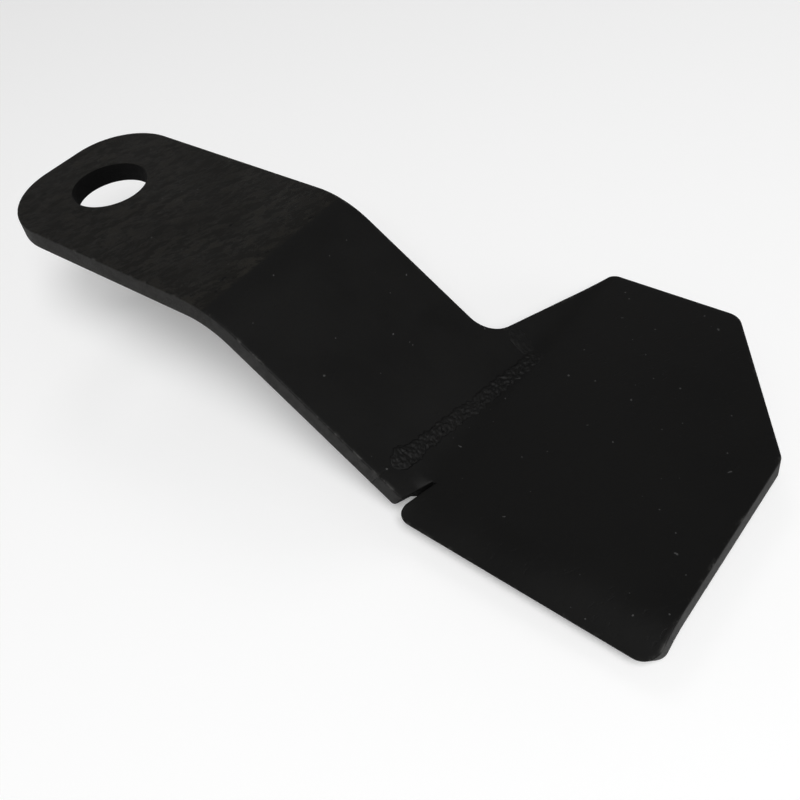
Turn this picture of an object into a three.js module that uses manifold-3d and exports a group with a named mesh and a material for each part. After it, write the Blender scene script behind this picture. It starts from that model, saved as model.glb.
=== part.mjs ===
// Swinging spreader hammer: a joggled flat-bar arm with a plain pivot eye, a wide
// angular paddle with one rolled lip, and the weld runs that join them.
//
// Millimetres. The origin is the centre of the pivot hole at the eye's upper face.
// +X runs along the arm towards the paddle, +Y towards the paddle's wing and +Z is
// the normal of the eye's upper face.

import * as THREE from 'three';
import { mergeVertices } from 'three/addons/utils/BufferGeometryUtils.js';
import Module from 'manifold-3d';

const wasm = await Module();
wasm.setup();

// ---- driving dimensions ---------------------------------------------------------

const BAR_WIDTH = 76.2;
const PLATE_THICKNESS = 8.5;
const PIVOT_DIAMETER = 31.75;
const PIVOT_TO_END = 34.5;
const EYE_NEAR_CORNER_RADIUS = 31;
const EYE_FAR_CORNER_RADIUS = 27;

const PIVOT_TO_FIRST_BEND = 97;
const SLOPE_LENGTH = 94.65;
const BEND_ANGLE = THREE.MathUtils.degToRad(35.35);
const FIRST_BEND_RADIUS = 42;
const SECOND_BEND_RADIUS = 16;

const PADDLE_LENGTH = 100.1;
const WING_REACH = 64.9;
const WING_ROOT_BACKSET = 14.2;
const WING_CORNER_FORWARD = 2.9;
const WING_EDGE_LENGTH = 54.8;
const END_EDGE_BEYOND_BAR = 5.1;
const WING_FILLET_RADIUS = 14;
const WING_CORNER_RADIUS = 8;
const END_CORNER_RADIUS = 6;

const LIP_INSET = 12;
const LIP_ROLL_RADIUS = 32;
const LIP_OVERHANG_AT_NECK = 4.9;
const LIP_OVERHANG_AT_END = 9;
const LIP_NOSE_ANGLE = THREE.MathUtils.degToRad(37);
const LIP_NECK_CORNER_RADIUS = 4;
const LIP_END_CORNER_RADIUS = 7;
const LIP_RELIEF_WIDTH = 1.4;
const LIP_RELIEF_SLANT = 4;
const LIP_LEAD_IN = 1;

const JOINT_SKEW = 0.137;
const JOINT_BEHIND_BEND_AT_CENTRE = 4.3;

const RETURN_BEYOND_BAR = 7.9;

const WELD_START_INSET = 6.5;
const WELD_PAST_RETURN = 1.6;
const TOP_BEAD = { radius: 3.8, centreBelowFace: 2.4 };
const ROOT_BEAD = { radius: 2, centreBelowFace: -0.3 };
const RETURN_RUN = { radius: 4.6, insetFromFillet: 1.2 };

const FIT_GAP = 0.3;

// ---- derived places -------------------------------------------------------------

const HALF_BAR = BAR_WIDTH / 2;
const NECK_X = PIVOT_TO_FIRST_BEND + SLOPE_LENGTH * Math.cos(BEND_ANGLE);
const PADDLE_Z = -SLOPE_LENGTH * Math.sin(BEND_ANGLE);
const PADDLE_END_X = NECK_X + PADDLE_LENGTH;
const WING_Y = HALF_BAR + WING_REACH;
const FOLD_Y = -HALF_BAR + LIP_INSET;
const RETURN_Y = HALF_BAR + RETURN_BEYOND_BAR;
const FIRST_TANGENT = FIRST_BEND_RADIUS * Math.tan(BEND_ANGLE / 2);
const SECOND_TANGENT = SECOND_BEND_RADIUS * Math.tan(BEND_ANGLE / 2);
const CUTTER_TOP = 60;
const CUTTER_BOTTOM = -160;
const SLAB_MARGIN = 30;

const jointX = (y) => NECK_X - JOINT_BEHIND_BEND_AT_CENTRE + JOINT_SKEW * y;

// ---- solids ---------------------------------------------------------------------

function toManifold(geometry) {
  const bare = geometry.index ? geometry.toNonIndexed() : geometry.clone();
  bare.deleteAttribute('normal');
  bare.deleteAttribute('uv');
  const merged = mergeVertices(bare, 1e-4);
  return new wasm.Manifold(new wasm.Mesh({
    numProp: 3,
    vertProperties: new Float32Array(merged.attributes.position.array),
    triVerts: new Uint32Array(merged.index.array),
  }));
}

function toGeometry(solid) {
  const { vertProperties, triVerts } = solid.getMesh();
  const geometry = new THREE.BufferGeometry();
  geometry.setAttribute('position', new THREE.BufferAttribute(new Float32Array(vertProperties), 3));
  geometry.setIndex(new THREE.BufferAttribute(new Uint32Array(triVerts), 1));
  geometry.computeVertexNormals();
  return geometry;
}

/** Closed shape whose corners [x, y, radius] are blended by tangent arcs. */
function roundedShape(corners) {
  const shape = new THREE.Shape();
  corners.forEach(([x, y, radius = 0], index) => {
    const here = new THREE.Vector2(x, y);
    const previous = corners.at(index - 1);
    const next = corners[(index + 1) % corners.length];
    const back = new THREE.Vector2(previous[0], previous[1]).sub(here).normalize();
    const ahead = new THREE.Vector2(next[0], next[1]).sub(here).normalize();
    const halfAngle = Math.acos(THREE.MathUtils.clamp(back.dot(ahead), -1, 1)) / 2;
    const reach = radius / Math.tan(halfAngle);
    const start = here.clone().addScaledVector(back, reach);
    if (index === 0) shape.moveTo(start.x, start.y);
    else shape.lineTo(start.x, start.y);
    if (radius === 0) return;
    const middle = back.clone().add(ahead).normalize();
    const centre = here.clone().addScaledVector(middle, radius / Math.sin(halfAngle));
    const end = here.clone().addScaledVector(ahead, reach);
    const clockwise = back.cross(ahead) > 0;
    const from = Math.atan2(start.y - centre.y, start.x - centre.x);
    const to = Math.atan2(end.y - centre.y, end.x - centre.x);
    shape.absarc(centre.x, centre.y, radius, from, to, clockwise);
  });
  shape.closePath();
  return shape;
}

/** Upright prism over a plan outline. */
function planPrism(shape) {
  const depth = CUTTER_TOP - CUTTER_BOTTOM;
  const geometry = new THREE.ExtrudeGeometry(shape, { depth, bevelEnabled: false, curveSegments: 10 });
  geometry.translate(0, 0, CUTTER_BOTTOM);
  return toManifold(geometry);
}

// ---- the joggled plate ------------------------------------------------------------

/** Side view of the plate, upper face first, as a shape whose y is the height. */
function joggleProfile() {
  const t = PLATE_THICKNESS;
  const startX = -PIVOT_TO_END - SLAB_MARGIN;
  const endX = PADDLE_END_X + SLAB_MARGIN;
  const up = Math.PI / 2;
  const first = { x: PIVOT_TO_FIRST_BEND - FIRST_TANGENT, z: -FIRST_BEND_RADIUS };
  const second = { x: NECK_X + SECOND_TANGENT, z: PADDLE_Z + SECOND_BEND_RADIUS };
  const shape = new THREE.Shape();
  shape.moveTo(startX, 0);
  shape.lineTo(first.x, 0);
  shape.absarc(first.x, first.z, FIRST_BEND_RADIUS, up, up - BEND_ANGLE, true);
  shape.absarc(second.x, second.z, SECOND_BEND_RADIUS, -up - BEND_ANGLE, -up, false);
  shape.lineTo(endX, PADDLE_Z);
  shape.lineTo(endX, PADDLE_Z - t);
  shape.absarc(second.x, second.z, SECOND_BEND_RADIUS + t, -up, -up - BEND_ANGLE, true);
  shape.absarc(first.x, first.z, FIRST_BEND_RADIUS - t, up - BEND_ANGLE, up, false);
  shape.lineTo(startX, -t);
  shape.closePath();
  return shape;
}

/** The plate bent to its side view, from one Y to another. */
function joggledSlab(fromY, toY) {
  const geometry = new THREE.ExtrudeGeometry(joggleProfile(), {
    depth: toY - fromY, bevelEnabled: false, curveSegments: 10,
  });
  geometry.rotateX(Math.PI / 2);
  geometry.translate(0, toY, 0);
  return toManifold(geometry);
}

/** Height and downward tilt of the upper face at a given X. */
function upperFace(x) {
  const firstStart = PIVOT_TO_FIRST_BEND - FIRST_TANGENT;
  const firstEnd = firstStart + FIRST_BEND_RADIUS * Math.sin(BEND_ANGLE);
  const secondEnd = NECK_X + SECOND_TANGENT;
  const secondStart = secondEnd - SECOND_BEND_RADIUS * Math.sin(BEND_ANGLE);
  if (x <= firstStart) return { z: 0, tilt: 0 };
  if (x < firstEnd) {
    const tilt = Math.asin((x - firstStart) / FIRST_BEND_RADIUS);
    return { z: -FIRST_BEND_RADIUS * (1 - Math.cos(tilt)), tilt };
  }
  if (x < secondStart) {
    return { z: -(x - PIVOT_TO_FIRST_BEND) * Math.tan(BEND_ANGLE), tilt: BEND_ANGLE };
  }
  if (x < secondEnd) {
    const tilt = Math.asin((secondEnd - x) / SECOND_BEND_RADIUS);
    return { z: PADDLE_Z + SECOND_BEND_RADIUS * (1 - Math.cos(tilt)), tilt };
  }
  return { z: PADDLE_Z, tilt: 0 };
}

// ---- outlines in plan ---------------------------------------------------------------

function armOutline() {
  const outline = roundedShape([
    [-PIVOT_TO_END, -HALF_BAR, EYE_NEAR_CORNER_RADIUS],
    [jointX(-HALF_BAR) - FIT_GAP, -HALF_BAR],
    [jointX(RETURN_Y - FIT_GAP) - FIT_GAP, RETURN_Y - FIT_GAP],
    [PIVOT_TO_FIRST_BEND, RETURN_Y - FIT_GAP],
    [PIVOT_TO_FIRST_BEND, HALF_BAR],
    [-PIVOT_TO_END, HALF_BAR, EYE_FAR_CORNER_RADIUS],
  ]);
  const pivotHole = new THREE.Path();
  pivotHole.absarc(0, 0, PIVOT_DIAMETER / 2, 0, Math.PI * 2, true);
  outline.holes.push(pivotHole);
  return outline;
}

/** Outline square to the slope, in distance down it from the first bend, and Y. */
function slopeOutline() {
  const downSlope = (x) => (x - PIVOT_TO_FIRST_BEND) / Math.cos(BEND_ANGLE);
  const beyond = 2 * PADDLE_LENGTH;
  return roundedShape([
    [-beyond, -beyond],
    [beyond, -beyond],
    [beyond, WING_Y],
    [downSlope(NECK_X + WING_CORNER_FORWARD), WING_Y, WING_CORNER_RADIUS / 2],
    [downSlope(NECK_X - WING_ROOT_BACKSET), HALF_BAR, WING_FILLET_RADIUS],
    [0, HALF_BAR],
    [0, WING_Y],
    [-beyond, WING_Y],
  ]);
}

/** Prism over the slope outline, standing square to the slope. */
function slopePrism() {
  const depth = CUTTER_TOP - CUTTER_BOTTOM;
  const geometry = new THREE.ExtrudeGeometry(slopeOutline(), {
    depth, bevelEnabled: false, curveSegments: 10,
  });
  geometry.translate(0, 0, -depth / 2);
  geometry.rotateY(BEND_ANGLE);
  geometry.translate(PIVOT_TO_FIRST_BEND, 0, 0);
  return toManifold(geometry);
}

/** Y of the rolled lip's nose, seen from above, at a given X. */
function noseY(x) {
  const along = (x - NECK_X) / PADDLE_LENGTH;
  const overhang = THREE.MathUtils.lerp(LIP_OVERHANG_AT_NECK, LIP_OVERHANG_AT_END, along);
  return -HALF_BAR - overhang;
}

/** The paddle's field and wing, up to the line where the lip starts to roll. */
function fieldOutline() {
  return roundedShape([
    [jointX(FOLD_Y), FOLD_Y],
    [PADDLE_END_X, FOLD_Y],
    [PADDLE_END_X, HALF_BAR + END_EDGE_BEYOND_BAR, END_CORNER_RADIUS],
    [NECK_X + WING_CORNER_FORWARD + WING_EDGE_LENGTH, WING_Y, WING_CORNER_RADIUS],
    [PIVOT_TO_FIRST_BEND, WING_Y],
    [PIVOT_TO_FIRST_BEND, RETURN_Y],
    [jointX(RETURN_Y), RETURN_Y],
  ]);
}

/** Strip beside the arm's corner, which the relief slit parts from the lip. */
function rootOutline() {
  const innerY = FOLD_Y + LIP_LEAD_IN;
  return roundedShape([
    [jointX(-HALF_BAR), -HALF_BAR],
    [NECK_X, -HALF_BAR],
    [NECK_X + LIP_RELIEF_SLANT, FOLD_Y],
    [NECK_X + LIP_RELIEF_SLANT, innerY],
    [jointX(innerY), innerY],
  ]);
}

function lipOutline() {
  const lipX = NECK_X + LIP_RELIEF_WIDTH;
  const slitTipX = NECK_X + LIP_RELIEF_SLANT + LIP_RELIEF_WIDTH;
  const innerY = FOLD_Y + LIP_LEAD_IN;
  return roundedShape([
    [slitTipX, innerY],
    [slitTipX, FOLD_Y],
    [lipX, -HALF_BAR],
    [lipX, noseY(lipX), LIP_NECK_CORNER_RADIUS],
    [PADDLE_END_X, noseY(PADDLE_END_X), LIP_END_CORNER_RADIUS],
    [PADDLE_END_X, innerY],
  ]);
}

// ---- the rolled lip -----------------------------------------------------------------

/** The plate's edge rolled down about an axis parallel to X, after a short flat lead-in. */
function lipRoll() {
  const t = PLATE_THICKNESS;
  const sweep = Math.asin((LIP_INSET + LIP_OVERHANG_AT_END + 1) / LIP_ROLL_RADIUS);
  const up = Math.PI / 2;
  const section = new THREE.Shape();
  section.moveTo(-LIP_LEAD_IN, LIP_ROLL_RADIUS);
  section.lineTo(0, LIP_ROLL_RADIUS);
  section.absarc(0, 0, LIP_ROLL_RADIUS, up, up - sweep, true);
  section.absarc(0, 0, LIP_ROLL_RADIUS - t, up - sweep, up, false);
  section.lineTo(-LIP_LEAD_IN, LIP_ROLL_RADIUS - t);
  section.closePath();
  const depth = PADDLE_LENGTH + SLAB_MARGIN;
  const geometry = new THREE.ExtrudeGeometry(section, { depth, bevelEnabled: false, curveSegments: 10 });
  const toLip = new THREE.Matrix4().makeBasis(
    new THREE.Vector3(0, -1, 0),
    new THREE.Vector3(0, 0, 1),
    new THREE.Vector3(-1, 0, 0),
  );
  geometry.applyMatrix4(toLip);
  geometry.translate(NECK_X + depth, FOLD_Y, PADDLE_Z - LIP_ROLL_RADIUS);
  return toManifold(geometry);
}

/** Block that squares the lip's nose off to the rolled face. */
function noseTrim() {
  const size = 2 * PADDLE_LENGTH;
  const geometry = new THREE.BoxGeometry(2 * size, size, size);
  geometry.translate(0, -size / 2, 0);
  geometry.rotateX(LIP_NOSE_ANGLE);
  geometry.rotateZ(Math.atan2(noseY(PADDLE_END_X) - noseY(NECK_X), PADDLE_LENGTH));
  const overhang = LIP_INSET + (LIP_OVERHANG_AT_NECK + LIP_OVERHANG_AT_END) / 2;
  const drop = LIP_ROLL_RADIUS - Math.sqrt(LIP_ROLL_RADIUS ** 2 - overhang ** 2);
  geometry.translate(NECK_X + PADDLE_LENGTH / 2, noseY(NECK_X + PADDLE_LENGTH / 2), PADDLE_Z - drop);
  return toManifold(geometry);
}

// ---- welds --------------------------------------------------------------------------

/** Point at a depth below the plate's upper face. */
function inPlate(x, y, depth) {
  const { z, tilt } = upperFace(x);
  return new THREE.Vector3(x - depth * Math.sin(tilt), y, z - depth * Math.cos(tilt));
}

/** Line of a weld run along the arm's end. */
function endWeldPath(depth, extension) {
  const fromY = -HALF_BAR + WELD_START_INSET - extension;
  const toY = RETURN_Y + WELD_PAST_RETURN + extension;
  const stations = 12;
  const points = [];
  for (let i = 0; i <= stations; i += 1) {
    const y = THREE.MathUtils.lerp(fromY, toY, i / stations);
    points.push(inPlate(jointX(y) - FIT_GAP / 2, y, depth));
  }
  return new THREE.CatmullRomCurve3(points);
}

/** Line of the run that turns back round the arm's corner to the wing's fillet. */
function returnWeldPath(extension) {
  const y = RETURN_Y - FIT_GAP / 2;
  const climb = (WING_ROOT_BACKSET + WING_CORNER_FORWARD) / WING_REACH;
  const filletX = NECK_X - WING_ROOT_BACKSET + climb * RETURN_BEYOND_BAR;
  const fromX = filletX + RETURN_RUN.insetFromFillet - extension;
  const toX = jointX(y) - TOP_BEAD.radius - 2 * FIT_GAP + extension;
  const stations = 4;
  const points = [];
  for (let i = 0; i <= stations; i += 1) {
    points.push(inPlate(THREE.MathUtils.lerp(fromX, toX, i / stations), y, PLATE_THICKNESS / 2));
  }
  return new THREE.CatmullRomCurve3(points);
}

function weldRod(path, radius, steps) {
  const section = new THREE.Shape();
  section.absarc(0, 0, radius, 0, Math.PI * 2, false);
  return toManifold(new THREE.ExtrudeGeometry(section, {
    extrudePath: path, steps, curveSegments: 7, bevelEnabled: false,
  }));
}

function topBead(clearance) {
  const { radius, centreBelowFace } = TOP_BEAD;
  return weldRod(endWeldPath(centreBelowFace, clearance), radius + clearance, 24);
}

function rootBead(clearance) {
  const { radius, centreBelowFace } = ROOT_BEAD;
  const depth = PLATE_THICKNESS - centreBelowFace;
  return weldRod(endWeldPath(depth, clearance), radius + clearance, 24);
}

function returnRun(clearance) {
  return weldRod(returnWeldPath(clearance), RETURN_RUN.radius + clearance, 6);
}

// ---- the pieces ---------------------------------------------------------------------

function cutWeldGrooves(solid) {
  return solid
    .subtract(topBead(FIT_GAP))
    .subtract(rootBead(FIT_GAP))
    .subtract(returnRun(FIT_GAP));
}

function armSolid() {
  const plate = joggledSlab(-HALF_BAR, RETURN_Y).intersect(planPrism(armOutline()));
  return cutWeldGrooves(plate.intersect(slopePrism()));
}

function paddleSolid() {
  const slab = joggledSlab(FOLD_Y, WING_Y).intersect(slopePrism());
  const field = slab.intersect(planPrism(fieldOutline()));
  const rootSlab = joggledSlab(-HALF_BAR, FOLD_Y + LIP_LEAD_IN);
  const root = rootSlab.intersect(planPrism(rootOutline()));
  const lip = lipRoll().intersect(planPrism(lipOutline())).subtract(noseTrim());
  return cutWeldGrooves(field.add(root).add(lip));
}

// ---- assembly -----------------------------------------------------------------------

const blackPaint = { color: 0x1c1c1b, roughness: 0.55, metalness: 0.35 };
const weldPaint = { color: 0x202020, roughness: 0.7, metalness: 0.3 };

const pieces = [
  ['arm', armSolid(), blackPaint],
  ['paddle', paddleSolid(), blackPaint],
  ['top_weld', topBead(0), weldPaint],
  ['return_weld', returnRun(0), weldPaint],
  ['root_weld', rootBead(0), weldPaint],
];

const hammer = new THREE.Group();
hammer.name = 'spreader_hammer';
for (const [name, solid, finish] of pieces) {
  const mesh = new THREE.Mesh(toGeometry(solid), new THREE.MeshStandardMaterial(finish));
  mesh.name = name;
  hammer.add(mesh);
}

export default hammer;
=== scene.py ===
"""Looks of a swinging spreader hammer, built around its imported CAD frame.

The plates are drawn flat, in distance along the bent upper face (u) and across it (v),
then folded to shape. Sizes are millimetres until a mesh is made, and metres after that.
"""

import math

import bpy
import numpy as np
from mathutils import Matrix, Vector, noise
from mathutils.geometry import delaunay_2d_cdt


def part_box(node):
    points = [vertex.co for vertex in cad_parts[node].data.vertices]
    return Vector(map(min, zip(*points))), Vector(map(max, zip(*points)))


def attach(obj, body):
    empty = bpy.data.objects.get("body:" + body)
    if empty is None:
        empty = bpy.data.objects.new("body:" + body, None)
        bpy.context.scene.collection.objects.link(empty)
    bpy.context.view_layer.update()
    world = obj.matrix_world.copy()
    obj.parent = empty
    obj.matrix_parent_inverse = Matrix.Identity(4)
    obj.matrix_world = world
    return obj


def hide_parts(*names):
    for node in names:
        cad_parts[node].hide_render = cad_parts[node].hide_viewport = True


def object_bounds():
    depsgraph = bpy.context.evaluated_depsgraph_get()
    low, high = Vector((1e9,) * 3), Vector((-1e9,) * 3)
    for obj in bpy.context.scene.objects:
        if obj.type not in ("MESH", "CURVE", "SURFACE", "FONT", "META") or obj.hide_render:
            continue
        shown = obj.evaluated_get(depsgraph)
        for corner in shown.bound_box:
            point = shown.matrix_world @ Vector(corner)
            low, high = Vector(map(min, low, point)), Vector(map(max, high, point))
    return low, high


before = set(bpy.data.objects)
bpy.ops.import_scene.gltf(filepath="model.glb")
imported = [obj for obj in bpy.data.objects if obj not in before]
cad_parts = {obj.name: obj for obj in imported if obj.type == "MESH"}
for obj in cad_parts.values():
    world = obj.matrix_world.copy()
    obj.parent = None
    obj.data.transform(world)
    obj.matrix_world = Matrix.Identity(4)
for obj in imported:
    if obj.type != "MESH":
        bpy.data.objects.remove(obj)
cad_bounds = [list(corner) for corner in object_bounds()]

MM = 0.001

# ---- sizes read from the frame ------------------------------------------------------


def box_mm(node):
    """Low and high corners of a node's box, in millimetres."""
    low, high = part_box(node)
    return np.array(low) / MM, np.array(high) / MM


arm_low, _ = box_mm("arm")
_, paddle_high = box_mm("paddle")
HALF_BAR = -arm_low[1]
EYE_END = arm_low[0]
PADDLE_END_X = paddle_high[0]
WING_Y = paddle_high[1]

# ---- sizes of the shape -------------------------------------------------------------
# They are the sizes of the part's source, except LIP_OVERHANG_AT_END. It is 9 there, but
# the CAD's nose is trimmed back at that end, so the looks are kept inside its box.

THICKNESS = 8.5
PIVOT_RADIUS = 31.75 / 2
EYE_NEAR_CORNER_RADIUS = 31
EYE_FAR_CORNER_RADIUS = 27
FIRST_BEND_X = 97
BEND_ANGLE = math.radians(35.35)
FIRST_BEND_RADIUS = 42
SECOND_BEND_RADIUS = 16
PADDLE_LENGTH = 100.1
NECK_X = PADDLE_END_X - PADDLE_LENGTH
SLOPE_LENGTH = (NECK_X - FIRST_BEND_X) / math.cos(BEND_ANGLE)
PADDLE_Z = -SLOPE_LENGTH * math.sin(BEND_ANGLE)
WING_ROOT_BACKSET = 14.2
WING_CORNER_FORWARD = 2.9
WING_EDGE_LENGTH = 54.8
END_EDGE_BEYOND_BAR = 5.1
WING_FILLET_RADIUS = 14
WING_CORNER_RADIUS = 8
END_CORNER_RADIUS = 6
LIP_INSET = 12
LIP_ROLL_RADIUS = 32
LIP_OVERHANG_AT_NECK = 4.9
LIP_OVERHANG_AT_END = 8.55
LIP_NECK_CORNER_RADIUS = 4
LIP_END_CORNER_RADIUS = 7
LIP_RELIEF_WIDTH = 1.4
LIP_RELIEF_SLANT = 4
JOINT_BACKSET = 4.3
JOINT_SKEW = 0.137
RETURN_OFFSET = 7.9
WELD_START_INSET = 6.5
WELD_OVERRUN = 1.6
FOLD_Y = -HALF_BAR + LIP_INSET
RETURN_Y = HALF_BAR + RETURN_OFFSET
WELD_START_Y = -HALF_BAR + WELD_START_INSET
WELD_END_Y = RETURN_Y + WELD_OVERRUN

# ---- fineness of the meshes ---------------------------------------------------------

RIM_STEP = 0.7
JOINT_STEP = 4.0
FACE_STEP = 2.5
BEND_STEP = 1.2
RIM_INSET = 1.5
JOINT_REACH = 0.02
HOLE_REACH = 0.35
FREE_REACH = 0.5            # an edge that reaches further than this is free
HOLE_POINTS = 120
MIN_ARC_STEPS = 4
GRID_CLEARANCE = 0.9        # least gap between a face's grid and its rings
NEARLY_STRAIGHT = 0.05      # below this, two edges are taken to run on in one line
SLIT_MOUTH_RADIUS = RIM_INSET + 0.2     # a little more than the rings' inset
SLIT_MARGIN = 1             # how close to the slit's middle a point counts as its edge
SLIT_RUN_ON = 1.6           # how far the slit's middle line runs, in lip insets
STRIP_BLEND = 5             # width over which the strip beside the slit straightens
STRAIGHT_EDGE_U = 20        # a place on the bar's straight far edge
WING_EDGE_LEAD = 20         # how far along the wing's edge the far side starts

# How the rim is rounded: distance in from the edge and depth below the face.
UPPER_ARRIS = [(1.5, 0.0), (0.62, 0.01), (0.34, 0.06), (0.13, 0.2), (0.03, 0.42), (0.0, 0.7)]
LOWER_ARRIS = [(0.0, 0.9), (0.07, 0.55), (0.28, 0.25), (0.6, 0.07), (1.0, 0.01), (1.5, 0.0)]
WALL_SHARES = (0.3, 0.5, 0.7)
ARRIS_LIMIT = 1.3           # depth from a face that its arris never reaches

# ---- the folded surface -------------------------------------------------------------

FIRST_TANGENT = FIRST_BEND_RADIUS * math.tan(BEND_ANGLE / 2)
SECOND_TANGENT = SECOND_BEND_RADIUS * math.tan(BEND_ANGLE / 2)
U_FIRST_START = FIRST_BEND_X - FIRST_TANGENT
U_FIRST_END = U_FIRST_START + FIRST_BEND_RADIUS * BEND_ANGLE
U_SECOND_START = U_FIRST_END + SLOPE_LENGTH - FIRST_TANGENT - SECOND_TANGENT
U_SECOND_END = U_SECOND_START + SECOND_BEND_RADIUS * BEND_ANGLE
X_FIRST_END = U_FIRST_START + FIRST_BEND_RADIUS * math.sin(BEND_ANGLE)
X_SECOND_END = NECK_X + SECOND_TANGENT
X_SECOND_START = X_SECOND_END - SECOND_BEND_RADIUS * math.sin(BEND_ANGLE)
Z_SECOND_START = PADDLE_Z + SECOND_BEND_RADIUS * (1 - math.cos(BEND_ANGLE))


def upper_path(u):
    """X, Z and downward tilt of the upper face, at distances u along it."""
    u = np.asarray(u, float)
    tilt_1 = np.clip((u - U_FIRST_START) / FIRST_BEND_RADIUS, 0, BEND_ANGLE)
    tilt_2 = np.clip((U_SECOND_END - u) / SECOND_BEND_RADIUS, 0, BEND_ANGLE)
    on_slope = np.clip(u, U_FIRST_END, U_SECOND_START) - U_FIRST_END
    beyond = np.maximum(u - U_SECOND_END, 0)
    x = np.minimum(u, U_FIRST_START) + FIRST_BEND_RADIUS * np.sin(tilt_1)
    z = -FIRST_BEND_RADIUS * (1 - np.cos(tilt_1))
    x = x + on_slope * math.cos(BEND_ANGLE)
    z = z - on_slope * math.sin(BEND_ANGLE)
    x = x + SECOND_BEND_RADIUS * (math.sin(BEND_ANGLE) - np.sin(tilt_2)) + beyond
    z = z - SECOND_BEND_RADIUS * (np.cos(tilt_2) - math.cos(BEND_ANGLE))
    return x, z, np.minimum(tilt_1, tilt_2)


def develop(x):
    """Distance along the upper face at which its X is x."""
    if x <= U_FIRST_START:
        return x
    if x < X_FIRST_END:
        angle = math.asin((x - U_FIRST_START) / FIRST_BEND_RADIUS)
        return U_FIRST_START + FIRST_BEND_RADIUS * angle
    if x < X_SECOND_START:
        return U_FIRST_END + (x - X_FIRST_END) / math.cos(BEND_ANGLE)
    if x < X_SECOND_END:
        angle = math.asin((X_SECOND_END - x) / SECOND_BEND_RADIUS)
        return U_SECOND_END - SECOND_BEND_RADIUS * angle
    return U_SECOND_END + x - X_SECOND_END


def joint_u(y):
    """Where the arm's end meets the paddle."""
    return develop(NECK_X - JOINT_BACKSET + JOINT_SKEW * y)


def slit_u(v):
    """Middle of the relief slit between the arm's corner and the lip."""
    share = np.clip((FOLD_Y - v) / LIP_INSET, 0, SLIT_RUN_ON)
    tip = develop(NECK_X + LIP_RELIEF_SLANT + LIP_RELIEF_WIDTH / 2)
    mouth = develop(NECK_X + LIP_RELIEF_WIDTH / 2)
    return tip + share * (mouth - tip)


def fold(u, v, w):
    """Points of the plate at height w above its upper face, in the part's frame."""
    x, z, tilt = upper_path(u)
    in_lip = (v < FOLD_Y) & (u > slit_u(v))
    on_strip = (v < FOLD_Y) & ~in_lip & (u > U_SECOND_START)
    straight = np.where(on_strip, np.clip((FOLD_Y - v) / STRIP_BLEND, 0, 1), 0)
    ahead = u - U_SECOND_START
    x = x + straight * (X_SECOND_START + ahead * math.cos(BEND_ANGLE) - x)
    z = z + straight * (Z_SECOND_START - ahead * math.sin(BEND_ANGLE) - z)
    tilt = tilt + straight * (BEND_ANGLE - tilt)
    turn = np.where(in_lip, (FOLD_Y - v) / LIP_ROLL_RADIUS, 0)
    y = np.where(in_lip, FOLD_Y - (LIP_ROLL_RADIUS + w) * np.sin(turn), v)
    height = np.where(in_lip, (LIP_ROLL_RADIUS + w) * np.cos(turn) - LIP_ROLL_RADIUS, w)
    return np.stack([x + height * np.sin(tilt), y, z + height * np.cos(tilt)], axis=-1)


# ---- flat outlines ------------------------------------------------------------------


def rounded(corners):
    """Open path through corners (u, v, radius), with an arc at each one that has a radius."""
    path = []
    last = len(corners) - 1
    for index, (u, v, radius) in enumerate(corners):
        here = Vector((u, v))
        if radius == 0 or index in (0, last):
            path.append(here)
            continue
        back = (Vector(corners[index - 1][:2]) - here).normalized()
        ahead = (Vector(corners[index + 1][:2]) - here).normalized()
        half = back.angle(ahead) / 2
        centre = here + (back + ahead).normalized() * radius / math.sin(half)
        start = here + back * radius / math.tan(half) - centre
        end = here + ahead * radius / math.tan(half) - centre
        sweep = start.angle_signed(end)
        steps = max(MIN_ARC_STEPS, round(abs(sweep) * radius / RIM_STEP))
        for k in range(steps + 1):
            path.append(centre + Matrix.Rotation(-sweep * k / steps, 2) @ start)
    return path


def subdivide(path, step):
    """The same path with no stretch longer than step."""
    points = [path[0]]
    for a, b in zip(path, path[1:]):
        pieces = max(1, math.ceil((b - a).length / step - 1e-6))
        points += [a.lerp(b, k / pieces) for k in range(1, pieces + 1)]
    return points


def split_at(path, v):
    """The path up to a height v and the path from there on."""
    for index, (a, b) in enumerate(zip(path, path[1:])):
        if (a.y - v) * (b.y - v) <= 0 and a.y != b.y:
            cut = a.lerp(b, (v - a.y) / (b.y - a.y))
            return path[: index + 1] + [cut], [cut] + path[index + 1:]
    raise ValueError("the path never reaches that height")


def lip_v(y):
    """Flat place of the point whose plan place on the rolled lip is y."""
    return FOLD_Y - LIP_ROLL_RADIUS * math.asin((FOLD_Y - y) / LIP_ROLL_RADIUS)


def far_side():
    """From the wing's far corner back along the flank, the fillet and the bar's edge."""
    slope_offset = U_FIRST_END - FIRST_TANGENT
    fillet_u = slope_offset + (NECK_X - WING_ROOT_BACKSET - FIRST_BEND_X) / math.cos(BEND_ANGLE)
    return rounded([
        (develop(NECK_X + WING_CORNER_FORWARD) + WING_EDGE_LEAD, WING_Y, 0),
        (develop(NECK_X + WING_CORNER_FORWARD), WING_Y, WING_CORNER_RADIUS / 2),
        (fillet_u, HALF_BAR, WING_FILLET_RADIUS),
        (STRAIGHT_EDGE_U, HALF_BAR, 0),
    ])


def joint_line():
    """From the arm's near corner along its end, then back to the wing's fillet."""
    near = Vector((joint_u(-HALF_BAR), -HALF_BAR))
    far = Vector((joint_u(RETURN_Y), RETURN_Y))
    exit_point = split_at(far_side(), RETURN_Y)[0][-1]
    return [near, far, exit_point]


def edge_run(path, free):
    """Path as (point, free) pairs, each saying whether the edge after it is free."""
    step = RIM_STEP if free else JOINT_STEP
    points = subdivide(path, step)
    if free:
        ends = (points[0], points[-1])
        keep = [p for p in points[1:-1] if min((p - e).length for e in ends) > 2 * RIM_STEP]
        points = [points[0], *keep, points[-1]]
    return [(p, free) for p in points[:-1]]


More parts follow.
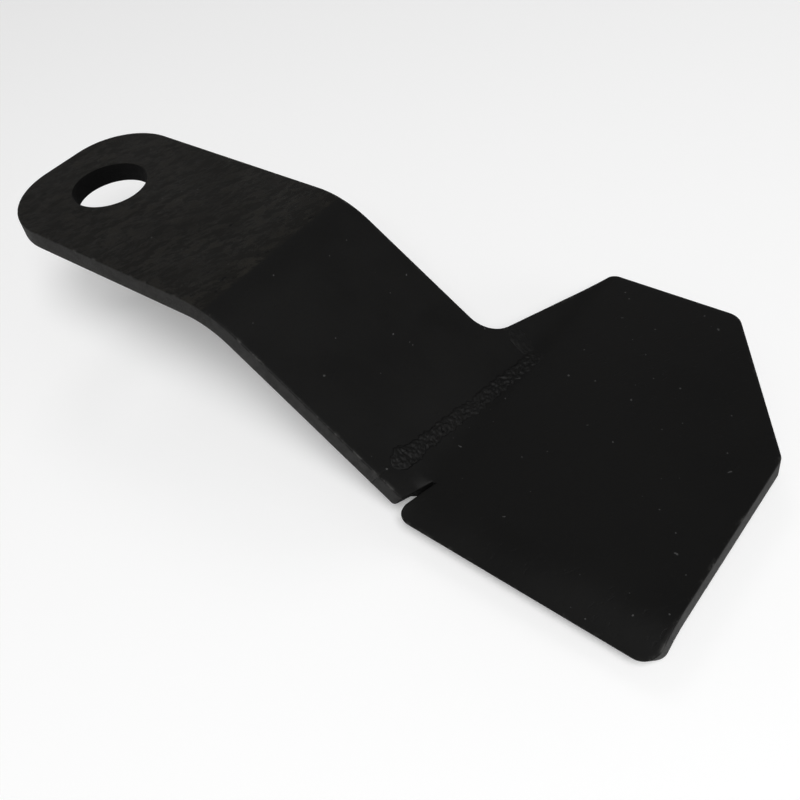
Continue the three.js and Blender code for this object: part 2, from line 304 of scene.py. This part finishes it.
def arm_outline():
    """Joint line, the wing's fillet, then round the eye and back along the near edge."""
    fillet = split_at(far_side(), RETURN_Y)[1]
    eye = rounded([
        (STRAIGHT_EDGE_U, HALF_BAR, 0),
        (EYE_END, HALF_BAR, EYE_FAR_CORNER_RADIUS),
        (EYE_END, -HALF_BAR, EYE_NEAR_CORNER_RADIUS),
        (joint_u(-HALF_BAR), -HALF_BAR, 0),
    ])
    return edge_run(joint_line(), False) + edge_run(fillet[:-1] + eye, True)


def pivot_hole():
    """Loop of the hole, run the other way round so that moving in means into the plate."""
    angles = [-2 * math.pi * k / HOLE_POINTS for k in range(HOLE_POINTS)]
    return [(Vector((math.cos(a), math.sin(a))) * PIVOT_RADIUS, HOLE_REACH) for a in angles]


def nose_v(x):
    """Flat place of the lip's nose at a place x along the paddle."""
    share = (x - NECK_X) / PADDLE_LENGTH
    overhang = LIP_OVERHANG_AT_NECK + share * (LIP_OVERHANG_AT_END - LIP_OVERHANG_AT_NECK)
    return lip_v(-HALF_BAR - overhang)


def paddle_outline():
    """Slit, lip, end, clipped corner and wing, then back along the joint line."""
    lip_start = develop(NECK_X + LIP_RELIEF_WIDTH)
    end_u = develop(PADDLE_END_X)
    flank = split_at(far_side(), RETURN_Y)[0]
    edge = rounded([
        (joint_u(-HALF_BAR), -HALF_BAR, 0),
        (develop(NECK_X), -HALF_BAR, SLIT_MOUTH_RADIUS),
        (develop(NECK_X + LIP_RELIEF_SLANT), FOLD_Y, 0),
        (develop(NECK_X + LIP_RELIEF_SLANT + LIP_RELIEF_WIDTH), FOLD_Y, 0),
        (lip_start, lip_v(-HALF_BAR), 0),
        (lip_start, nose_v(NECK_X + LIP_RELIEF_WIDTH), LIP_NECK_CORNER_RADIUS),
        (end_u, nose_v(PADDLE_END_X), LIP_END_CORNER_RADIUS),
        (end_u, HALF_BAR + END_EDGE_BEYOND_BAR, END_CORNER_RADIUS),
        (develop(NECK_X + WING_CORNER_FORWARD + WING_EDGE_LENGTH), WING_Y, WING_CORNER_RADIUS),
        (flank[0].x, WING_Y, 0),
    ])
    return edge_run(edge[:-1] + flank, True) + edge_run(joint_line()[::-1], False)


# ---- plate meshes -------------------------------------------------------------------


def inward_offsets(loop):
    """For each point of a loop, how it moves when each edge moves in by its own reach.

    Each point comes with its edge's reach: True for 1, False for JOINT_REACH, or a share.
    """
    points = np.array([p[:] for p, _ in loop])
    reach = np.array([float(free) or JOINT_REACH for _, free in loop])
    along = np.roll(points, -1, axis=0) - points
    along /= np.linalg.norm(along, axis=1)[:, None]
    normal = np.stack([-along[:, 1], along[:, 0]], axis=1)
    before, reach_before = np.roll(normal, 1, axis=0), np.roll(reach, 1)
    det = before[:, 0] * normal[:, 1] - before[:, 1] * normal[:, 0]
    smooth = (before + normal) * reach[:, None] / (1 + (before * normal).sum(axis=1))[:, None]
    safe = np.where(abs(det) < NEARLY_STRAIGHT, 1, det)
    sharp = np.stack([
        reach_before * normal[:, 1] - before[:, 1] * reach,
        before[:, 0] * reach - reach_before * normal[:, 0],
    ], axis=1) / safe[:, None]
    offsets = np.where((abs(det) < NEARLY_STRAIGHT)[:, None], smooth, sharp)
    return points, offsets, np.maximum(reach, reach_before)


def inside(points, loop):
    """Even-odd test of points against a closed loop."""
    x, y = points[:, 0], points[:, 1]
    odd = np.zeros(len(points), bool)
    for (x1, y1), (x2, y2) in zip(loop, np.roll(loop, -1, axis=0)):
        if y1 == y2:
            continue
        crosses = (y1 > y) != (y2 > y)
        odd ^= crosses & (x < x1 + (y - y1) * (x2 - x1) / (y2 - y1))
    return odd


def within(points, rings):
    """Whether points lie inside the first ring and outside the others."""
    kept = inside(points, rings[0])
    for ring in rings[1:]:
        kept &= ~inside(points, ring)
    return kept


def grid_lines(low, high, fine_ranges):
    """Grid places from low to high, closer together in the fine ranges."""
    places = [low]
    while places[-1] < high:
        here = places[-1]
        fine = any(a - FACE_STEP < here < b for a, b in fine_ranges)
        places.append(here + (BEND_STEP if fine else FACE_STEP))
    return np.array(places)


def face_mesh(rings):
    """Interior points and triangles of a face bounded by its innermost rings."""
    border = np.concatenate(rings)
    low, high = border.min(axis=0), border.max(axis=0)
    bends = [(U_FIRST_START, U_FIRST_END), (U_SECOND_START, U_SECOND_END)]
    us = grid_lines(low[0], high[0], bends)
    vs = grid_lines(low[1], high[1], [(low[1], FOLD_Y)])
    grid = np.stack(np.meshgrid(us, vs), axis=-1).reshape(-1, 2)
    grid = grid[within(grid, rings)]
    gap = np.array([np.min(np.hypot(*(border - p).T)) for p in grid])
    grid = grid[gap > GRID_CLEARANCE]
    edges, start = [], 0
    for ring in rings:
        count = len(ring)
        edges += [(start + i, start + (i + 1) % count) for i in range(count)]
        start += count
    points = np.concatenate([border, grid])
    made = delaunay_2d_cdt([Vector(p) for p in points], edges, [], 0, 1e-5)
    source = [ids[0] for ids in made[3]]
    triangles = np.array([[source[i] for i in face] for face in made[2]])
    middle = points[triangles].mean(axis=1)
    return grid, triangles[within(middle, rings)]


def in_slit(points):
    """Whether flat points lie on either edge of the relief slit."""
    u, v = points.T
    beside = abs(u - slit_u(v)) < SLIT_MARGIN
    return beside & (v < FOLD_Y + SLIT_MARGIN) & (v > -HALF_BAR - SLIT_MARGIN)


def rim_profile():
    """Rings from the upper face over the rim to the lower face: (inset, height)."""
    rings = [(inset, -depth) for inset, depth in UPPER_ARRIS]
    rings += [(0, -THICKNESS * share) for share in WALL_SHARES]
    rings += [(inset, -THICKNESS + depth) for inset, depth in LOWER_ARRIS]
    return rings


def edge_wear(inset, depth):
    """How much of the paint a ring of the rim loses: most on the arris itself."""
    if 0.04 < depth < 0.6 and inset < 0.5:
        return 1.0
    return 0.4 if inset < 0.7 and depth < 0.9 else 0.0


def plate(name, loops):
    """Closed, folded plate with rounded rims, from its flat outline and any hole."""
    profile = rim_profile()
    flat, heights, wear, wall_shear_and_sheen, painted_recess_shade, faces = [], [], [], [], [], []
    start = 0
    top_rings, top_ids, bottom_ids = [], [], []
    for number, loop in enumerate(loops):
        points, offsets, reach = inward_offsets(loop)
        count = len(points)
        for inset, height in profile:
            top_side = height > -THICKNESS / 2
            depth = -height if top_side else height + THICKNESS
            rim_depth = depth * reach if depth < ARRIS_LIMIT else np.full(count, depth)
            flat.append(points + offsets * inset)
            heights.append(-rim_depth if top_side else rim_depth - THICKNESS)
            wear.append(edge_wear(inset, depth) * (reach > FREE_REACH) * ~in_slit(points))
            wall = 1.0 if inset < 0.1 else 0.0
            # Walls of free edges are marked for a mottled sheared finish, and also for a painted
            # sheen that lightens them.
            wall_shear_and_sheen.append(wall * (reach > FREE_REACH))
            # The hole's wall and the walls of the relief slit are marked for painted shade:
            # near-black colour in place of the shadow inside them.
            shaded = np.ones(count, bool) if number else in_slit(points)
            painted_recess_shade.append(wall * shaded)
        for k in range(len(profile) - 1):
            a, b = start + k * count, start + (k + 1) * count
            for i in range(count):
                after = (i + 1) % count
                faces.append((a + i, b + i, b + after, a + after))
        top_rings.append(points + offsets * RIM_INSET)
        top_ids += range(start, start + count)
        bottom_ids += range(start + (len(profile) - 1) * count, start + len(profile) * count)
        start += len(profile) * count
    grid, triangles = face_mesh(top_rings)
    for ids, height in ((top_ids, 0.0), (bottom_ids, -THICKNESS)):
        lookup = np.array(ids + list(range(start, start + len(grid))))
        turned = lookup[triangles] if height == 0 else lookup[triangles][:, ::-1]
        faces += [tuple(int(i) for i in face) for face in turned]
        flat.append(grid)
        heights.append(np.full(len(grid), height))
        for values in (wear, wall_shear_and_sheen, painted_recess_shade):
            values.append(np.zeros(len(grid)))
        start += len(grid)
    flat, heights = np.concatenate(flat), np.concatenate(heights)
    verts = fold(flat[:, 0], flat[:, 1], heights)
    attributes = {"wear": wear, "wall_shear_and_sheen": wall_shear_and_sheen, "painted_recess_shade": painted_recess_shade}
    joined = {key: np.concatenate(values) for key, values in attributes.items()}
    return make_piece(name, verts, faces, joined)


def make_piece(name, verts_mm, faces, attributes):
    """Smooth object from points in millimetres, with one value per point and attribute."""
    mesh = bpy.data.meshes.new(name)
    mesh.from_pydata((np.asarray(verts_mm) * MM).tolist(), [], faces)
    for key, values in attributes.items():
        mesh.attributes.new(key, "FLOAT", "POINT").data.foreach_set("value", values)
    mesh.update()
    mesh.validate()
    mesh.shade_smooth()
    piece = bpy.data.objects.new(name, mesh)
    bpy.context.collection.objects.link(piece)
    return piece


# ---- weld beads ---------------------------------------------------------------------

BEAD_STEP = 0.4
BEAD_SINK = 0.6             # how deep the bead's underside is sunk in the plate
TAPER_LENGTH = 3.2          # how far from either end the bead has its full width
SWAY = 1.3
SWELL_AT = 5
SWELL_LENGTH = 7
CRATER_BACK = 4             # how far before the end the ripples fade out
CRATER_LENGTH = 2.2


def tube_faces(count, per):
    """Faces of a closed tube of count rings with per points in each."""
    faces = []
    for i in range(count - 1):
        for j in range(per):
            a, b = i * per + j, i * per + (j + 1) % per
            faces.append((a, a + per, b + per, b))
    faces.append(tuple(range(per)))
    faces.append(tuple((count - 1) * per + j for j in range(per))[::-1])
    return faces


def bead(name, path, half_width, crown, side, ripple_pitch, seed, swell=0.0):
    """Uneven run of weld along a path of flat (u, v) points on one face of the plate."""
    points = np.array([p[:] for p in subdivide(path, BEAD_STEP)])
    along = np.gradient(points, axis=0)
    along /= np.linalg.norm(along, axis=1)[:, None]
    across = np.stack([-along[:, 1], along[:, 0]], axis=1)
    lengths = np.linalg.norm(np.diff(points, axis=0), axis=1)
    distance = np.concatenate([[0], np.cumsum(lengths)])
    total = distance[-1]
    arc = np.linspace(-1, 1, 19)
    rings = []
    for i, s in enumerate(distance):
        ends = min(s, total - s)
        taper = min(1, math.sqrt(max(0, ends) / TAPER_LENGTH + 0.01))
        sway = noise.noise(Vector((s * 0.13, seed, 0))) * SWAY
        swelling = swell * math.exp(-((s - SWELL_AT) / SWELL_LENGTH) ** 2)
        half = half_width * (1 + swelling) * taper
        crater = 1 - 0.8 * math.exp(-((total - s - CRATER_BACK) / CRATER_LENGTH) ** 2)
        ring = []
        for c in arc:
            ragged = 1 + 0.4 * noise.noise(Vector((s * 0.5, seed + 9, math.copysign(3, c))))
            place = points[i] + across[i] * (c * half * ragged + sway)
            phase = (s + 2.2 * c * c + noise.noise(Vector((s * 0.2, c, seed)))) / ripple_pitch
            ripple = abs(math.sin(math.pi * phase))
            lumps = noise.fractal(Vector((s * 0.6, c * 2.4, seed)), 0.45, 2.1, 5)
            height = crown * (1 - c ** 4) * (0.5 + 0.14 * ripple * crater + 0.5 * lumps) * taper
            ring.append((*place, max(height, 0.02 - 0.4 * c ** 8)))
        for c in arc[::-1][2:-1:2]:
            place = points[i] + across[i] * (c * half * 0.8 + sway)
            ring.append((*place, -BEAD_SINK))
        rings.append(ring)
    flat = np.array(rings).reshape(-1, 3)
    height = flat[:, 2] if side == "upper" else -THICKNESS - flat[:, 2]
    verts = fold(flat[:, 0], flat[:, 1], height)
    faces = tube_faces(len(rings), len(rings[0]))
    if side != "upper":
        faces = [face[::-1] for face in faces]
    zero = np.zeros(len(verts))
    return make_piece(name, verts, faces, {"wear": zero, "wall_shear_and_sheen": zero, "painted_recess_shade": zero})


def end_weld_path():
    """Along the joint line, from near the slit to just past the arm's far corner."""
    steps = 20
    ys = [WELD_START_Y + (WELD_END_Y - WELD_START_Y) * k / steps for k in range(steps + 1)]
    return [Vector((joint_u(y), y)) for y in ys]


# ---- materials ----------------------------------------------------------------------

SCALE_EDGE_X = 0.0945       # where the mill scale of the eye ends, in metres
ROLLING_DIRECTION = math.radians(70)


class Nodes:
    """Short way to wire up one node tree."""

    def __init__(self, tree):
        self.tree = tree

    def add(self, kind, inputs=(), **settings):
        node = self.tree.nodes.new(kind)
        for key, value in settings.items():
            setattr(node, key, value)
        for key, value in dict(inputs).items():
            if isinstance(value, bpy.types.NodeSocket):
                self.tree.links.new(value, node.inputs[key])
            else:
                node.inputs[key].default_value = value
        return node

    def math(self, operation, a, b):
        return self.add("ShaderNodeMath", {0: a, 1: b}, operation=operation).outputs[0]

    def ramp(self, value, low, high, to_low=0.0, to_high=1.0):
        """Value carried from one range to another, smoothly and no further than its ends."""
        inputs = {"Value": value, "From Min": low, "From Max": high}
        inputs.update({"To Min": to_low, "To Max": to_high})
        return self.add("ShaderNodeMapRange", inputs, interpolation_type="SMOOTHSTEP").outputs[0]

    def stretched(self, where, times):
        """Coordinates in which a pattern is drawn out along the rolling direction."""
        inputs = {"Vector": where, "Rotation": (0, 0, ROLLING_DIRECTION), "Scale": (times, 1, 1)}
        return self.add("ShaderNodeMapping", inputs, vector_type="TEXTURE").outputs[0]

    def noise(self, where, scale, detail=3.0, roughness=0.55):
        inputs = {"Vector": where, "Scale": scale, "Detail": detail, "Roughness": roughness}
        return self.add("ShaderNodeTexNoise", inputs).outputs["Fac"]

    def mix(self, share, a, b):
        node = self.add("ShaderNodeMix", data_type="RGBA")
        for key, value in ((0, share), (6, a), (7, b)):
            if isinstance(value, bpy.types.NodeSocket):
                self.tree.links.new(value, node.inputs[key])
            else:
                node.inputs[key].default_value = value
        return node.outputs[2]


def grey(value, warmth=0.0):
    """Grey colour, made a little redder and less blue by warmth."""
    return (value * (1 + warmth), value, value * (1 - 2 * warmth), 1)


def black_paint(name, tone=1.0, coarse=0.0):
    """Thin satin black paint over rolled plate, with mill scale, flecks, worn arrises, painted
    shade in the pivot hole and the relief slit, and cut walls lightened partly by a painted
    sheen.
    """
    material = bpy.data.materials.new(name)
    material.use_nodes = True
    tree = material.node_tree
    n = Nodes(tree)
    shader = tree.nodes["Principled BSDF"]
    where = n.add("ShaderNodeTexCoord").outputs["Object"]
    wear = n.add("ShaderNodeAttribute", attribute_name="wear").outputs["Fac"]
    wall_shear_and_sheen = n.add("ShaderNodeAttribute", attribute_name="wall_shear_and_sheen").outputs["Fac"]
    painted_recess_shade = n.add("ShaderNodeAttribute", attribute_name="painted_recess_shade").outputs["Fac"]
    x = n.add("ShaderNodeSeparateXYZ", {0: where}).outputs["X"]

    clouds = n.noise(where, 26, 4)
    grain = n.noise(where, 1100, 3, 0.6)
    on_eye = n.ramp(x, SCALE_EDGE_X + 0.0004, SCALE_EDGE_X - 0.0012)
    drawn = n.stretched(where, 2.2)
    scale = n.noise(drawn, 260, 8, 0.8)
    broad = n.ramp(n.noise(where, 45, 3), 0.35, 0.65)
    patches = n.math("MULTIPLY", on_eye, n.ramp(broad, 0, 1, 0.35, 1))
    flakes = n.math("MULTIPLY", n.ramp(scale, 0.49, 0.55), patches)
    pits = n.ramp(n.noise(n.stretched(where, 3.5), 620, 3, 0.6), 0.62, 0.66)
    dots = n.math("MULTIPLY", pits, n.ramp(on_eye, 0, 1, 0.12 + 0.88 * coarse, 1.0))

    colour = n.mix(clouds, grey(0.0032 * tone), grey(0.0052 * tone, 0.03))
    colour = n.mix(on_eye, colour, grey(0.0058 * tone, 0.07))
    colour = n.mix(flakes, colour, grey(0.0125 * tone, 0.09))
    colour = n.mix(dots, colour, grey(0.0012))
    chips = n.ramp(n.noise(where, 240, 4, 0.7), 0.5, 0.66)
    colour = n.mix(n.math("MULTIPLY", wear, chips), colour, grey(0.035, 0.02))
    fleck = n.ramp(n.noise(where, 430, 1, 0.4), 0.79, 0.8)
    colour = n.mix(n.math("MULTIPLY", fleck, 0.5), colour, grey(0.09))
    # Cut walls: a mottled sheared finish, made lighter as well to paint in the sheen they catch
    # from the floor and the side light.
    sheared_finish_and_painted_sheen = n.math("MULTIPLY", wall_shear_and_sheen, n.ramp(n.noise(where, 350, 5, 0.75), 0.4, 0.6, 0.25, 0.9))
    colour = n.mix(sheared_finish_and_painted_sheen, colour, grey(0.017, 0.02))
    # Painted shade: the hole's wall and the slit's walls turn near black, standing in for the
    # shadow inside them.
    colour = n.mix(painted_recess_shade, colour, grey(0.0003))
    tree.links.new(colour, shader.inputs["Base Color"])

    rough = n.ramp(clouds, 0.3, 0.7, 0.5, 0.62)
    rough = n.math("ADD", rough, n.math("MULTIPLY", on_eye, 0.05))
    rough = n.math("ADD", rough, n.math("MULTIPLY", wall_shear_and_sheen, 0.08))
    rough = n.math("ADD", rough, n.math("MULTIPLY", painted_recess_shade, 0.3))
    tree.links.new(rough, shader.inputs["Roughness"])
    shader.inputs["Specular IOR Level"].default_value = 0.13

    height = n.math("MULTIPLY", flakes, 0.00013)
    height = n.math("ADD", height, n.math("MULTIPLY", dots, -0.0003))
    height = n.math("ADD", height, n.math("MULTIPLY", grain, 0.00004 + 0.00012 * coarse))
    height = n.math("ADD", height, n.math("MULTIPLY", n.noise(where, 55, 3), 0.0003))
    bump = n.add("ShaderNodeBump", {"Height": height, "Strength": 0.7, "Distance": 1.0})
    tree.links.new(bump.outputs[0], shader.inputs["Normal"])
    return material


def floor_material():
    material = bpy.data.materials.new("floor_white")
    material.use_nodes = True
    shader = material.node_tree.nodes["Principled BSDF"]
    shader.inputs["Base Color"].default_value = (0.93, 0.93, 0.93, 1)
    shader.inputs["Roughness"].default_value = 0.9
    shader.inputs["Specular IOR Level"].default_value = 0.1
    shader.inputs["Emission Color"].default_value = (1, 1, 1, 1)
    shader.inputs["Emission Strength"].default_value = 0.14
    return material


# ---- stage, light and camera, in metres ---------------------------------------------

FLOOR_HALF = 1.5
FLOOR_GAP = 0.0002
SKY_STRENGTH = 0.1
CAMERA_AIM = Vector((0.1451, -0.0012, -0.0547))
CAMERA_DISTANCE = 0.3819
CAMERA_AZIMUTH = math.radians(45.58)
CAMERA_ELEVATION = math.radians(44.80)
CAMERA_ROLL = math.radians(-11.25)
CAMERA_LENS = 45.34
CAMERA_SHIFT_X = -0.0011
CAMERA_SHIFT_Y = 0.004
SENSOR_WIDTH = 36
CLIP_START = 0.01


def add_floor():
    """Square pale floor just below the part."""
    level = cad_bounds[0][2] - FLOOR_GAP
    mesh = bpy.data.meshes.new("floor")
    signs = ((-1, -1), (1, -1), (1, 1), (-1, 1))
    corners = [(x * FLOOR_HALF, y * FLOOR_HALF, level) for x, y in signs]
    mesh.from_pydata(corners, [], [(0, 1, 2, 3)])
    mesh.materials.append(floor_material())
    floor = bpy.data.objects.new("floor", mesh)
    bpy.context.collection.objects.link(floor)


def softbox(name, place, aim, size, power):
    data = bpy.data.lights.new(name, "AREA")
    data.shape = "RECTANGLE"
    data.size, data.size_y = size
    data.energy = power
    light = bpy.data.objects.new(name, data)
    light.location = place
    light.rotation_euler = (Vector(aim) - Vector(place)).to_track_quat("-Z", "Y").to_euler()
    bpy.context.collection.objects.link(light)


def add_world():
    """Pale horizon under a dark ceiling."""
    world = bpy.data.worlds.new("studio")
    bpy.context.scene.world = world
    world.use_nodes = True
    n = Nodes(world.node_tree)
    where = n.add("ShaderNodeTexCoord").outputs["Generated"]
    up = n.add("ShaderNodeSeparateXYZ", {0: where}).outputs["Z"]
    strength = n.ramp(up, 0.08, 0.34, 1.0, SKY_STRENGTH)
    background = world.node_tree.nodes["Background"]
    background.inputs["Color"].default_value = (1, 1, 1, 1)
    world.node_tree.links.new(strength, background.inputs["Strength"])


def add_camera():
    data = bpy.data.cameras.new("camera")
    data.sensor_width = SENSOR_WIDTH
    data.lens = CAMERA_LENS
    data.shift_x = CAMERA_SHIFT_X
    data.shift_y = CAMERA_SHIFT_Y
    data.clip_start = CLIP_START
    camera = bpy.data.objects.new("camera", data)
    flat = math.cos(CAMERA_ELEVATION)
    back = Vector((
        math.sin(CAMERA_AZIMUTH) * flat,
        -math.cos(CAMERA_AZIMUTH) * flat,
        math.sin(CAMERA_ELEVATION),
    ))
    level = back.to_track_quat("Z", "Y").to_matrix()
    turn = Matrix.Rotation(CAMERA_ROLL, 3, back)
    place = Matrix.Translation(CAMERA_AIM + back * CAMERA_DISTANCE)
    camera.matrix_world = place @ (turn @ level).to_4x4()
    bpy.context.collection.objects.link(camera)
    bpy.context.scene.camera = camera


# ---- the scene ----------------------------------------------------------------------

bpy.context.scene.view_settings.view_transform = "Standard"
add_camera()
add_world()
add_floor()
softbox("key", place=(1.4, -1.1, 2.3), aim=(0.12, 0, 0), size=(1.6, 1.6), power=74)
softbox("back", place=(-1.3, 1.5, 2.2), aim=(0.1, 0, 0), size=(1.0, 1.0), power=5)
softbox("side", place=(1.6, 0.2, 0.25), aim=(0.27, 0, -0.06), size=(0.8, 0.5), power=3)

paint = black_paint("black_paint_on_plate")
weld_paint = black_paint("black_paint_on_weld", tone=1.1, coarse=1.0)

arm = plate("arm_plate", [arm_outline(), pivot_hole()])
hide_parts("arm")
paddle = plate("paddle_plate", [paddle_outline()])
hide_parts("paddle")

top = bead("top_weld_bead", end_weld_path(), half_width=2.9, crown=0.85, side="upper",
           ripple_pitch=2.3, seed=3.1, swell=0.45)
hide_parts("top_weld")
root = bead("root_weld_bead", end_weld_path(), half_width=3.0, crown=1.2, side="lower",
            ripple_pitch=1.7, seed=8.4)
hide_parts("root_weld")
_, far_corner, fillet_exit = joint_line()
return_path = [fillet_exit.lerp(far_corner, share) for share in (0.1, 0.55, 0.85)]
back = bead("return_weld_bead", return_path, half_width=3.6, crown=0.45, side="upper",
            ripple_pitch=3.1, seed=5.5)
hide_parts("return_weld")

for piece, material, slot in (
    (arm, paint, "black_paint"),
    (paddle, paint, "black_paint"),
    (top, weld_paint, "weld_paint"),
    (root, weld_paint, "weld_paint"),
    (back, weld_paint, "weld_paint"),
):
    piece.data.materials.append(material)
    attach(piece, "root")
